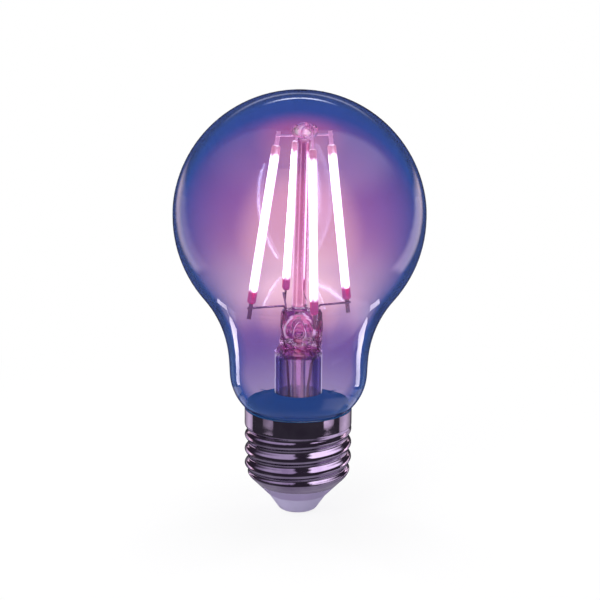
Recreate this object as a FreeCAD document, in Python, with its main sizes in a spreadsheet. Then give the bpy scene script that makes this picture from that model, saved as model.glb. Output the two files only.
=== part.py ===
import FreeCAD, Part
import Sketcher
import math
import os

from FreeCAD import Placement, Rotation, Vector

# Filament lamp with an A-shape globe on a screw cap. Millimetres.
# The origin is the face of the centre contact, on the lamp's axis, with +Z towards the crown.

doc = FreeCAD.newDocument("lamp")
sheet = doc.addObject("Spreadsheet::Sheet", "sizes")

sizes = {
    # cap, from the centre contact upwards
    "contact_height": 0.5,
    "contact_radius": 3.0,
    "contact_flat": 2.2,
    "contact_rim": 0.25,
    "shank_radius": 1.0,
    "shank_length": 2.1,
    "insulator_height": 7.1,
    "tip_radius": 4.5,
    "tip_round": 1.2,
    "step_radius": 7.3,
    "step_width": 0.25,
    "step_height": 4.1,
    "step_drop": 0.15,
    "flange_height": 1.1,
    "shell_radius": 13.1,
    "shell_wall": 0.3,
    "shell_height": 18.9,
    "lip_inset": 2.8,
    "lip_bend": 5.0,
    "lip_angle": 45.0,
    "thread_pitch": 3.629,
    "thread_depth": 0.95,
    "thread_start": 2.8,
    "thread_low": 2.0,
    "thread_runout": 1.8,
    "collar_height": 3.9,
    "cement_film": 0.12,
    "cement_reach": 6.9,
    "fit_gap": 0.02,
    # glass envelope
    "glass_wall": 0.75,
    "skirt_depth": 2.0,
    "corner_lift": 0.05,
    "neck_rise": 8.5,
    "neck_radius": 16.7,
    "neck_taper": 2.86,
    "neck_run": 3.21,
    "shoulder_radius": 28.0,
    "globe_radius": 30.15,
    "girth_height": 0.45,
    "side_inset": 3.0,
    "crown_sink": 0.74,
    "crown_gap": 9.84,
    # glass stem
    "flare_rise": 0.4,
    "flare_bend": 1.8,
    "stem_wall": 0.9,
    "tube_radius": 5.75,
    "tube_length": 14.0,
    "roof_height": 1.0,
    "dome_height": 3.7,
    "press_height": 10.0,
    "press_width": 10.2,
    "press_depth": 5.8,
    "press_shift": 0.65,
    "bead_radius": 1.2,
    "bead_foot": 3.2,
    "exhaust_radius": 1.75,
    "exhaust_bore": 0.95,
    "exhaust_tail": 6.5,
    "exhaust_hole": 1.1,
    "hole_rise": 5.1,
    "post_root": 1.5,
    "post_foot_radius": 1.95,
    "post_radius": 1.6,
    "button_radius": 2.5,
    "button_half": 2.1,
    "button_lift": 0.9,
    "lobe_radius": 1.55,
    "lobe_reach": 1.8,
    "lean_angle": 1.25,
    # filament cage
    "cage_angle": 16.7,
    "foot_rise": 2.0,
    "foot_radius": 12.07,
    "filament_tilt": 7.96,
    "filament_width": 2.0,
    "filament_depth": 1.7,
    "filament_round": 0.6,
    "tab_width": 1.0,
    "tab_thickness": 0.25,
    "tab_length": 3.3,
    # wires
    "wire_radius": 0.25,
    "lead_spread": 3.85,
    "lead_pair": 0.35,
    "lead_depth": 4.4,
    "weld_gap": 0.06,
    "lead_rise": 1.0,
    "lead_bend": 1.0,
    "lead_tail": 0.7,
    "bridge_seat": 2.3,
    "bridge_bend": 1.5,
    "lead_in_radius": 0.3,
    "lead_in_spread": 2.3,
    "knee_rise": 4.0,
    "knee_bend": 6.0,
    "cap_wire_radius": 0.3,
    # driver
    "board_gap": 1.25,
    "board_thickness": 1.0,
    "capacitor_radius": 3.15,
    "capacitor_height": 7.0,
    "capacitor_inset": 4.6,
    "capacitor_back": 3.6,
    "rectifier_length": 4.7,
    "rectifier_width": 4.0,
    "rectifier_height": 2.4,
    "rectifier_inset": 4.9,
    "rectifier_front": 3.6,
    "chip_length": 4.9,
    "chip_width": 3.9,
    "chip_height": 1.5,
    "chip_across": 3.0,
    "chip_inset": 5.0,
    "package_chamfer": 0.3,
    "fuse_radius": 1.5,
    "fuse_length": 6.5,
    "fuse_across": 3.5,
    "fuse_inset": 5.6,
    "shell_lead_angle": 20.0,
    "shell_lead_inset": 1.2,
    "shell_lead_rise": 3.0,
    "shell_lead_bend": 0.8,
}
for row, name in enumerate(sizes, start=1):
    sheet.set("A%d" % row, name)
    sheet.set("B%d" % row, str(sizes[name]))
    sheet.setAlias("B%d" % row, name)

# sizes that follow from the others: the insulator fills the cone at the foot of the shell,
# the neck's corner meets the skirt just above the rim,
# the globe sits where its shoulder meets the neck,
# the filaments reach up to a clearance under the crown, the board keeps clear of the thread
# and its parts stand in from its edge
followers = {
    "lip_radius": "shell_radius - lip_inset",
    "lip_wall": "shell_wall / cos(lip_angle)",
    "cone_across": "shell_radius - shell_wall - thread_depth - lip_radius + lip_wall",
    "cone_rise": "cone_across / tan(lip_angle)",
    "flange_spread": "(shell_wall + flange_height) * tan(lip_angle)",
    "corner_across": "neck_radius - shell_radius + shell_wall + cement_film",
    "corner_drop": "neck_rise - corner_lift",
    "corner_square": "corner_across^2 + corner_drop^2",
    "corner_slope": "corner_across * cos(neck_taper) - corner_drop * sin(neck_taper)",
    "corner_radius": "corner_square / (2 * corner_slope)",
    "shoulder_across": "neck_radius + neck_run * sin(neck_taper) + shoulder_radius * cos(neck_taper)",
    "shoulder_rise": "neck_run * cos(neck_taper) - shoulder_radius * sin(neck_taper)",
    "globe_rise": "shoulder_rise + sqrt((globe_radius + shoulder_radius)^2 - shoulder_across^2)",
    "side_radius": "globe_radius - side_inset",
    "crown_rise": "side_radius - crown_sink + sqrt(side_inset^2 + crown_sink^2)",
    "stem_top": "flare_rise + tube_length + press_height",
    "crown_inside": "neck_rise + globe_rise + girth_height + crown_rise - glass_wall",
    "cage_rise": "crown_inside - stem_top - crown_gap - foot_rise",
    "filament_length": "cage_rise / cos(filament_tilt) - bridge_seat",
    "board_radius": "shell_radius - shell_wall - thread_depth - board_gap",
    "capacitor_across": "board_radius - capacitor_inset",
    "rectifier_across": "board_radius - rectifier_inset",
    "chip_front": "board_radius - chip_inset",
    "fuse_back": "board_radius - fuse_inset",
    "shell_lead_radius": "board_radius - shell_lead_inset",
}
for row, name in enumerate(followers, start=len(sizes) + 1):
    sheet.set("A%d" % row, name)
    sheet.set("B%d" % row, "=" + followers[name])
    sheet.setAlias("B%d" % row, name)
doc.recompute()


def size(name):
    return float(sheet.get(name))


def stack(names):
    # a sum of named sizes, as a number and as an expression; a leading minus takes one away
    value = 0.0
    text = "0"
    for word in names.split():
        name = word.lstrip("-")
        taken = word.startswith("-")
        value += -size(name) if taken else size(name)
        text += (" - " if taken else " + ") + "sizes." + name
    return value, text


# heights, each stacked on the one below
lip = "contact_height insulator_height"
seat = lip + " shell_wall flange_height"
board_top = seat + " board_thickness"
rim = lip + " shell_height"
collar = rim + " -collar_height"
skirt = rim + " -skirt_depth"
flare = rim + " flare_rise"
neck = rim + " neck_rise"
centre = neck + " globe_rise"
press = flare + " tube_length"
press_top = press + " press_height"
lead_root = press_top + " -lead_depth"
# radii at the lip and the rim of the cap
mouth = "lip_radius -lip_wall"
bore_wall = "shell_radius -shell_wall"
skirt_radius = bore_wall + " -cement_film"
seal_radius = skirt_radius + " -glass_wall"


def height(names):
    return stack(names)[0]


def new_body(label, place=None):
    body = doc.addObject("PartDesign::Body", label)
    body.Label = label
    if place is not None:
        body.Placement = place
    return body


def new_sketch(body, name, role):
    sketch = body.newObject("Sketcher::SketchObject", name)
    for plane in body.Origin.OriginFeatures:
        if plane.Role == role:
            sketch.AttachmentSupport = [(plane, "")]
    sketch.MapMode = "FlatFace"
    return sketch


def dimension(sketch, kind, place, names):
    # a driving dimension bound to the sheet
    value, text = stack(names)
    index = sketch.addConstraint(Sketcher.Constraint(kind, *place, value))
    sketch.setExpression("Constraints[%d]" % index, text)


def pin_point(sketch, geometry, end, across, up):
    # a point fixed by its distance from the axis and its height; an empty text is zero
    if across:
        dimension(sketch, "DistanceX", (-1, 1, geometry, end), across)
    else:
        sketch.addConstraint(Sketcher.Constraint("PointOnObject", geometry, end, -2))
    if up:
        dimension(sketch, "DistanceY", (-1, 1, geometry, end), up)
    else:
        sketch.addConstraint(Sketcher.Constraint("PointOnObject", geometry, end, -1))


def draw_outline(sketch, corners):
    # a closed outline of straight sides through the named corners
    points = [Vector(height(across), height(up), 0) for across, up in corners]
    count = len(points)
    for index in range(count):
        sketch.addGeometry(Part.LineSegment(points[index], points[(index + 1) % count]))
    for index in range(count):
        sketch.addConstraint(Sketcher.Constraint("Coincident", index, 2, (index + 1) % count, 1))
    for index, (across, up) in enumerate(corners):
        pin_point(sketch, index, 1, across, up)


def revolve(body, sketch, kind, name):
    feature = body.newObject(kind, name)
    feature.Profile = sketch
    feature.ReferenceAxis = (sketch, ["V_Axis"])
    feature.Angle = 360
    doc.recompute()
    return feature


def ring_edges(shape, rings):
    # names of the circular edges at the given radii and heights
    names = []
    for index, edge in enumerate(shape.Edges, start=1):
        curve = edge.Curve
        if not isinstance(curve, Part.Circle):
            continue
        for radius, level in rings:
            if abs(curve.Radius - radius) < 1e-4 and abs(curve.Center.z - level) < 1e-4:
                names.append("Edge%d" % index)
    return names


def round_edges(body, base, name, edges, radius):
    fillet = body.newObject("PartDesign::Fillet", name)
    fillet.Base = (base, edges)
    fillet.setExpression("Radius", "sizes." + radius)
    doc.recompute()
    return fillet


def turned_piece(label, corners):
    body = new_body(label)
    sketch = new_sketch(body, label + "_outline", "XZ_Plane")
    draw_outline(sketch, corners)
    feature = revolve(body, sketch, "PartDesign::Revolution", label + "_turn")
    return body, feature


def arc(centre_x, centre_y, radius, start, end):
    circle = Part.Circle(Vector(centre_x, centre_y, 0), Vector(0, 0, 1), radius)
    return Part.ArcOfCircle(circle, start, end)


def draw_bulb(sketch, inset, growth, foot_radius, foot):
    # half section of the blown glass: crown, side, girth, globe, hollow shoulder, tapered neck,
    # round corner and straight skirt, each tangent to the next down to the corner
    globe_radius = height("globe_radius" + inset)
    side_radius = height("side_radius" + inset)
    rise = height("crown_rise" + inset)
    shoulder_radius = height("shoulder_radius" + growth)
    neck_radius = height("neck_radius" + inset)
    corner_radius = height("corner_radius" + inset)
    skirt_x = height(foot_radius)
    centre_y = height(centre)
    upper_y = height(centre + " girth_height")
    neck_y = height(neck)
    taper = math.radians(size("neck_taper"))

    side_x = globe_radius - side_radius
    excess = rise - side_radius
    crown_drop = (side_x ** 2 - excess ** 2) / (2 * excess)
    crown_angle = math.atan2(crown_drop, side_x)
    along = Vector(math.sin(taper), math.cos(taper), 0)
    outward = Vector(math.cos(taper), -math.sin(taper), 0)
    neck_foot = Vector(neck_radius, neck_y, 0)
    away = neck_foot + outward * shoulder_radius - Vector(0, centre_y, 0)
    half = away.dot(along)
    span = globe_radius + shoulder_radius
    neck_run = -half - math.sqrt(half ** 2 - away.dot(away) + span ** 2)
    neck_head = neck_foot + along * neck_run
    shoulder = neck_head + outward * shoulder_radius
    globe_end = math.atan2(shoulder.y - centre_y, shoulder.x)
    corner = neck_foot - outward * corner_radius
    corner_end = -math.acos((skirt_x - corner.x) / corner_radius)
    corner_foot = Vector(skirt_x, corner.y + corner_radius * math.sin(corner_end), 0)
    skirt_foot = Vector(skirt_x, height(foot), 0)
    axis_foot = Vector(0, height(foot), 0)
    axis_head = Vector(0, upper_y + rise, 0)

    sketch.addGeometry(arc(0, upper_y - crown_drop, rise + crown_drop, crown_angle, math.pi / 2))
    sketch.addGeometry(arc(side_x, upper_y, side_radius, 0, crown_angle))
    sketch.addGeometry(arc(0, centre_y, globe_radius, globe_end, 0))
    sketch.addGeometry(arc(shoulder.x, shoulder.y, shoulder_radius, math.pi + globe_end, math.pi - taper))
    sketch.addGeometry(Part.LineSegment(neck_foot, neck_head))
    sketch.addGeometry(arc(corner.x, corner.y, corner_radius, corner_end, -taper))
    sketch.addGeometry(Part.LineSegment(corner_foot, skirt_foot))
    sketch.addGeometry(Part.LineSegment(skirt_foot, axis_foot))
    sketch.addGeometry(Part.LineSegment(axis_foot, axis_head))
    sketch.addGeometry(Part.LineSegment(Vector(globe_radius, upper_y, 0), Vector(globe_radius, centre_y, 0)))

    for joint in [(0, 1, 1, 2), (1, 1, 9, 1), (9, 2, 2, 2), (2, 1, 3, 1), (3, 2, 4, 2), (4, 1, 5, 2)]:
        sketch.addConstraint(Sketcher.Constraint("Tangent", *joint))
    for joint in [(5, 1, 6, 1), (6, 2, 7, 1), (7, 2, 8, 1), (8, 2, 0, 2)]:
        sketch.addConstraint(Sketcher.Constraint("Coincident", *joint))
    for point in [(0, 2), (0, 3), (2, 3), (7, 2)]:
        sketch.addConstraint(Sketcher.Constraint("PointOnObject", *point, -2))
    sketch.addConstraint(Sketcher.Constraint("Vertical", 9))
    sketch.addConstraint(Sketcher.Constraint("Vertical", 6))
    sketch.addConstraint(Sketcher.Constraint("Horizontal", 7))
    dimension(sketch, "Radius", (1,), "side_radius" + inset)
    dimension(sketch, "Radius", (2,), "globe_radius" + inset)
    dimension(sketch, "Radius", (3,), "shoulder_radius" + growth)
    dimension(sketch, "Radius", (5,), "corner_radius" + inset)
    dimension(sketch, "DistanceY", (-1, 1, 2, 3), centre)
    dimension(sketch, "DistanceY", (9, 2, 9, 1), "girth_height")
    dimension(sketch, "DistanceY", (-1, 1, 0, 2), centre + " girth_height crown_rise" + inset)
    dimension(sketch, "DistanceX", (-1, 1, 4, 1), "neck_radius" + inset)
    dimension(sketch, "DistanceY", (-1, 1, 4, 1), neck)
    dimension(sketch, "DistanceX", (-1, 1, 5, 1), foot_radius)
    dimension(sketch, "DistanceY", (-1, 1, 6, 2), foot)
    slope = sketch.addConstraint(Sketcher.Constraint("Angle", 4, math.pi / 2 - taper))
    sketch.setExpression("Constraints[%d]" % slope, "90 deg - sizes.neck_taper * 1 deg")


def make_envelope():
    body = new_body("glass_envelope")
    outside = new_sketch(body, "envelope_outside", "XZ_Plane")
    draw_bulb(outside, "", "", skirt_radius, skirt)
    blown = revolve(body, outside, "PartDesign::Revolution", "envelope_blown")
    inside = new_sketch(body, "envelope_inside", "XZ_Plane")
    draw_bulb(inside, " -glass_wall", " glass_wall", seal_radius, skirt + " -glass_wall")
    hollow = revolve(body, inside, "PartDesign::Groove", "envelope_hollow")
    if hollow.Shape.Volume > 0.2 * blown.Shape.Volume:
        raise RuntimeError("the globe is not hollow")
    return body


def thread_wave(turn, level):
    # depth of the rolled thread at an angle and a height: a right-hand cosine wave that
    # fades out towards the lip and towards the smooth collar
    low = height(lip + " thread_low")
    high = height(collar)
    runout = size("thread_runout")
    if level <= low or level >= high:
        return 0.0
    fade = 1.0
    for gap in (level - low, high - level):
        if gap < runout:
            fade *= 0.5 - 0.5 * math.cos(math.pi * gap / runout)
    phase = (level - height(lip + " thread_start")) / size("thread_pitch")
    phase -= (turn - math.pi) / (2 * math.pi)
    return size("thread_depth") * fade * (0.5 + 0.5 * math.cos(2 * math.pi * phase))


def shell_section(turn):
    # points down the shell's outside at one angle: straight wall, bend and cone, with the thread
    # taken off them
    radius = size("shell_radius")
    bend = size("lip_bend")
    slope = math.radians(size("lip_angle"))
    bend_foot = radius - bend + bend * math.cos(slope)
    cone_run = (bend_foot - size("lip_radius")) / math.sin(slope)
    bend_top = height(lip) + cone_run * math.cos(slope) + bend * math.sin(slope)
    wall = height(rim) - bend_top
    arc_run = bend * slope
    run = wall + arc_run + cone_run
    steps = int(math.ceil(run / size("thread_pitch") * 8))
    points = []
    for step in range(steps + 1):
        along = run * step / steps
        if along <= wall:
            up = height(rim) - along
            across = radius
        elif along <= wall + arc_run:
            angle = (along - wall) / bend
            across = radius - bend + bend * math.cos(angle)
            up = bend_top - bend * math.sin(angle)
        else:
            rest = run - along
            across = size("lip_radius") + rest * math.sin(slope)
            up = height(lip) + rest * math.cos(slope)
        across -= thread_wave(turn, up)
        points.append(Vector(across * math.cos(turn), across * math.sin(turn), up))
    return points


def make_shell():
    # the rolled outside is one surface over angle and height, closed by a disc at each end;
    # the turned hollow inside leaves the wall
    turns = [math.radians(15 * step) for step in range(25)]
    surface = Part.BSplineSurface()
    surface.interpolate([shell_section(turn) for turn in turns])
    faces = []
    rings = ([], [])
    for half in (0.0, 0.5):
        skin = surface.copy()
        skin.segment(half, half + 0.5, 0.0, 1.0)
        faces.append(skin.toShape())
        for end, ring in enumerate(rings):
            ring.append(skin.vIso(float(end)).toShape())
    for ring in rings:
        faces.append(Part.Face(Part.Wire(ring)))
    closed = Part.makeShell(faces)
    closed.sewShape()
    solid = Part.makeSolid(closed)
    if solid.Volume < 0:
        solid.reverse()
    rolled = doc.addObject("Part::Feature", "rolled_outside")
    rolled.Shape = solid
    rolled.Placement = Placement()

    root = bore_wall + " -thread_depth"
    corners = [
        ("", lip + " -shell_wall"),
        (mouth, lip + " -shell_wall"),
        (mouth, lip),
        (root, lip + " cone_rise"),
        (root, collar + " -thread_runout"),
        (bore_wall, collar),
        (bore_wall, rim + " shell_wall"),
        ("", rim + " shell_wall"),
    ]
    hollow = turned_piece("shell_hollow", corners)[0]
    piece = doc.addObject("Part::Cut", "screw_shell")
    piece.Label = "screw_shell"
    piece.Base = rolled
    piece.Tool = hollow
    return piece


def make_insulator():
    foot = "contact_height"
    step = foot + " step_height"
    throat = mouth + " -fit_gap"
    corners = [
        ("shank_radius", foot),
        ("tip_radius", foot),
        ("step_radius", step),
        ("step_radius step_width", step + " step_drop"),
        ("lip_radius", lip + " -fit_gap"),
        (throat, lip + " -fit_gap"),
        (throat, lip),
        (throat + " flange_spread", seat),
        ("shank_radius", seat),
    ]
    body, turned = turned_piece("base_insulator", corners)
    edges = ring_edges(turned.Shape, [(height("tip_radius"), height(foot))])
    round_edges(body, turned, "tip_edge", edges, "tip_round")
    return body


def make_contact():
    shank = "shank_radius -fit_gap"
    foot = "contact_height"
    corners = [
        ("", ""),
        ("contact_flat", ""),
        ("contact_radius", "contact_rim"),
        ("contact_radius", foot),
        (shank, foot),
        (shank, foot + " shank_length"),
        ("", foot + " shank_length"),
    ]
    return turned_piece("centre_contact", corners)[0]


def make_cement():
    outer = bore_wall + " -fit_gap"
    inner = bore_wall + " -cement_reach"
    underside = flare + " -stem_wall"
    corners = [
        (inner, collar),
        (outer, collar),
        (outer, rim),
        (skirt_radius, rim),
        (skirt_radius, skirt),
        (seal_radius, skirt),
        (seal_radius, underside),
        (inner, underside),
    ]
    return turned_piece("basing_cement", corners)[0]


def cylinder(label, radius, length, place):
    piece = doc.addObject("Part::Cylinder", label)
    piece.Label = label
    piece.setExpression("Radius", stack(radius)[1])
    piece.setExpression("Height", stack(length)[1])
    piece.Placement = place
    return piece


def shift(across, back, up):
    return Placement(Vector(across, back, up), Rotation())


def turn_about(axis, angle):
    return Placement(Vector(), Rotation(axis, angle))


# the mount leans a little, about the root of the leads in the press
lean_root = Vector(0, 0, height(lead_root))
lean = Placement(Vector(), Rotation(Vector(0, 1, 0), size("lean_angle")), lean_root)
directions = {"right": 0.0, "back": 90.0, "left": 180.0, "front": 270.0}


def filament_place(side):
    # frame of a filament: origin at its lower end, local Z along it, local X away from the axis
    turned = turn_about(Vector(0, 0, 1), directions[side] + size("cage_angle"))
    foot = shift(size("foot_radius"), 0, height(press_top + " foot_rise"))
    tilted = turn_about(Vector(0, 1, 0), -size("filament_tilt"))
    return lean.multiply(turned).multiply(foot).multiply(tilted)


def tilt_reach(length):
    return length * math.sin(math.radians(size("filament_tilt")))


bridge_level = height(press_top + " foot_rise cage_rise")
button_level = bridge_level + size("button_lift")


def make_filament(side):
    body = new_body("filament_" + side, filament_place(side))
    section = new_sketch(body, side + "_section", "XY_Plane")
    half_width = size("filament_width") / 2
    half_depth = size("filament_depth") / 2
    corners = [(-1, -1), (1, -1), (1, 1), (-1, 1)]
    points = [Vector(x * half_width, y * half_depth, 0) for x, y in corners]
    for index in range(4):
        section.addGeometry(Part.LineSegment(points[index], points[(index + 1) % 4]))
    for index in range(4):
        section.addConstraint(Sketcher.Constraint("Coincident", index, 2, (index + 1) % 4, 1))
    for index, kind in enumerate(["Horizontal", "Vertical", "Horizontal", "Vertical"]):
        section.addConstraint(Sketcher.Constraint(kind, index))
    section.addConstraint(Sketcher.Constraint("Symmetric", 0, 1, 1, 2, -1, 1))
    dimension(section, "DistanceX", (0, 1, 0, 2), "filament_width")
    dimension(section, "DistanceY", (1, 1, 1, 2), "filament_depth")
    pad = body.newObject("PartDesign::Pad", side + "_strip")
    pad.Profile = section
    pad.setExpression("Length", "sizes.filament_length")
    doc.recompute()
    edges = ["Edge%d" % (index + 1) for index in range(len(pad.Shape.Edges))]
    round_edges(body, pad, side + "_coat", edges, "filament_round")
    return body


def make_tab(side, end):
    label = "filament_%s_%s_tab" % (side, end)
    tab = doc.addObject("Part::Box", label)
    tab.Label = label
    tab.setExpression("Length", "sizes.tab_width")
    tab.setExpression("Width", "sizes.tab_thickness")
    tab.setExpression("Height", "sizes.tab_length")
    start = size("filament_length") if end == "upper" else -size("tab_length")
    corner = shift(-size("tab_width") / 2, -size("tab_thickness") / 2, start)
    tab.Placement = filament_place(side).multiply(corner)
    return tab


def bent_wire(label, radius, straight, bend, end, place):
    # a wire that runs up local Z, bends towards local X and ends at the point end
    body = new_body(label, place)
    section = new_sketch(body, label + "_section", "XY_Plane")
    section.addGeometry(Part.Circle(Vector(), Vector(0, 0, 1), size(radius)))
    section.addConstraint(Sketcher.Constraint("Coincident", 0, 3, -1, 1))
    dimension(section, "Radius", (0,), radius)

    bend_radius = size(bend)
    middle = Vector(bend_radius, straight, 0)
    reach = end - middle
    run = math.sqrt(reach.Length ** 2 - bend_radius ** 2)
    angle = math.atan2(reach.y, reach.x) + math.atan2(run, bend_radius)
    leave = middle + Vector(math.cos(angle), math.sin(angle), 0) * bend_radius
    path = new_sketch(body, label + "_path", "XZ_Plane")
    path.addGeometry(Part.LineSegment(Vector(), Vector(0, straight, 0)))
    path.addGeometry(arc(middle.x, middle.y, bend_radius, angle, math.pi))
    path.addGeometry(Part.LineSegment(leave, end))
    path.addConstraint(Sketcher.Constraint("Coincident", 0, 1, -1, 1))
    path.addConstraint(Sketcher.Constraint("Vertical", 0))
    path.addConstraint(Sketcher.Constraint("Tangent", 0, 2, 1, 2))
    path.addConstraint(Sketcher.Constraint("Tangent", 1, 1, 2, 1))
    path.addConstraint(Sketcher.Constraint("DistanceY", 0, 1, 0, 2, straight))
    path.addConstraint(Sketcher.Constraint("DistanceX", -1, 1, 2, 2, end.x))
    path.addConstraint(Sketcher.Constraint("DistanceY", -1, 1, 2, 2, end.y))
    dimension(path, "Radius", (1,), bend)
    pipe = body.newObject("PartDesign::AdditivePipe", label + "_run")
    pipe.Profile = section
    pipe.Spine = (path, ["Edge1", "Edge2", "Edge3"])
    doc.recompute()
    return body


def tab_gap(radius):
    # from a tab's middle plane to the middle of a wire that lies on its face
    return size("tab_thickness") / 2 + size(radius) + size("fit_gap")


def make_bridge(label, first):
    # joins two neighbouring upper tabs, with its bend set in the glass button
    seat_length = height("filament_length bridge_seat")
    reach = size("foot_radius") - tilt_reach(seat_length) + size("lead_tail")
    beside = tab_gap("wire_radius")
    leg = reach - beside
    turned = turn_about(Vector(0, 0, 1), directions[first] + size("cage_angle"))
    start = shift(reach, beside, bridge_level)
    axes = Rotation(Vector(0, 1, 0), Vector(0, 0, -1), Vector(-1, 0, 0), "ZXY")
    place = lean.multiply(turned).multiply(start).multiply(Placement(Vector(), axes))
    straight = leg - size("bridge_bend")
    return bent_wire(label, "wire_radius", straight, "bridge_bend", Vector(leg, leg, 0), place)


def lead_start(side):
    # left and back share the left shoulder of the press, right and front the right one
    shoulder = -1 if side in ("left", "back") else 1
    pair = -1 if side in ("left", "front") else 1
    across = size("press_shift") + shoulder * size("lead_spread")
    return Vector(across, pair * size("lead_pair"), height(lead_root))


def make_inner_lead(side):
    # rises out of the press and runs out level, past the face of the lower tab
    level = height(press_top + " lead_rise")
    down = (height("foot_rise") - size("lead_rise")) / math.cos(math.radians(size("filament_tilt")))
    tab_point = filament_place(side).multVec(Vector(0, 0, -down))
    azimuth = math.radians(directions[side] + size("cage_angle"))
    across_tab = Vector(-math.sin(azimuth), math.cos(azimuth), 0)
    start = lead_start(side)
    run = tab_point - start
    run.z = 0
    face = 1 if across_tab.dot(run) < 0 else -1
    skew = abs(math.tan(math.asin(across_tab.dot(run) / run.Length)))
    beside = tab_gap("wire_radius") + skew * size("tab_width") / 2
    target = tab_point + across_tab * (face * beside)
    run = target - start
    run.z = 0
    turned = math.degrees(math.atan2(run.y, run.x))
    rise = level - start.z
    end = Vector(run.Length + size("lead_tail"), rise, 0)
    place = Placement(start, Rotation(Vector(0, 0, 1), turned))
    straight = rise - size("lead_bend")
    return bent_wire("inner_lead_" + side, "wire_radius", straight, "lead_bend", end, place)


def make_lead_in(side):
    # stands on the driver board, runs up the stem tube and spreads into the press
    hand = -1 if side == "left" else 1
    foot = Vector(hand * size("lead_in_spread"), 0, height(board_top))
    top = size("press_shift") + hand * size("lead_spread")
    end = Vector(abs(top) - size("lead_in_spread"), height(lead_root + " -weld_gap") - foot.z, 0)
    straight = height(flare + " knee_rise") - foot.z
    place = Placement(foot, Rotation(Vector(0, 0, 1), 0 if hand > 0 else 180))
    return bent_wire("lead_in_wire_" + side, "lead_in_radius", straight, "knee_bend", end, place)


def make_tube():
    # flare and tube of the stem, closed at the top by the roof under the press
    roof = press + " -roof_height"
    inner = "tube_radius -stem_wall"
    underside = flare + " -stem_wall"
    corners = [
        ("", roof),
        (inner + " -roof_height", roof),
        (inner, roof + " -roof_height"),
        (inner, underside),
        (seal_radius, underside),
        (seal_radius, flare),
        ("tube_radius", flare),
        ("tube_radius", press),
        ("", press),
    ]
    body, turned = turned_piece("stem_tube", corners)
    edges = ring_edges(turned.Shape, [
        (height("tube_radius"), height(flare)),
        (height(inner), height(underside)),
    ])
    round_edges(body, turned, "flare_root", edges, "flare_bend")
    return body


def make_press():
    # the pinched glass: from the round tube to a flat slab, drawn in at its top
    sections = [
        ("sizes.tube_radius - sizes.stem_wall / 5", "sizes.tube_radius - sizes.stem_wall / 5", -0.05, 0.0),
        ("sizes.press_width * 0.52", "sizes.press_depth * 0.74", 0.16, 0.5),
        ("sizes.press_width * 0.5", "sizes.press_depth * 0.52", 0.4, 1.0),
        ("sizes.press_width * 0.49", "sizes.press_depth * 0.47", 0.86, 1.0),
        ("sizes.press_width * 0.45", "sizes.press_depth * 0.36", 1.0, 1.0),
    ]
    rings = []
    for index, (wide, deep, share, moved) in enumerate(sections):
        ring = doc.addObject("Part::Ellipse", "press_ring_%d" % index)
        ring.setExpression("MajorRadius", wide)
        ring.setExpression("MinorRadius", deep)
        level = height(press) + share * size("press_height")
        ring.Placement = shift(moved * size("press_shift"), 0, level)
        rings.append(ring)
    loft = doc.addObject("Part::Loft", "press_slab")
    loft.Sections = rings
    loft.Solid = True
    return loft


def make_beads():
    # glass gathered round the leads at the two edges of the press
    beads = []
    for hand in (-1, 1):
        across = size("press_shift") + hand * size("lead_spread")
        foot = height(press + " bead_foot")
        head = height(press_top + " -bead_radius")
        length = "press_height -bead_foot -bead_radius"
        beads.append(cylinder("bead_%d" % (hand + 1), "bead_radius", length, shift(across, 0, foot)))
        for level in (foot, head):
            cap = doc.addObject("Part::Sphere", "bead_cap")
            cap.setExpression("Radius", "sizes.bead_radius")
            cap.Placement = shift(across, 0, level)
            beads.append(cap)
    return beads


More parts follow.
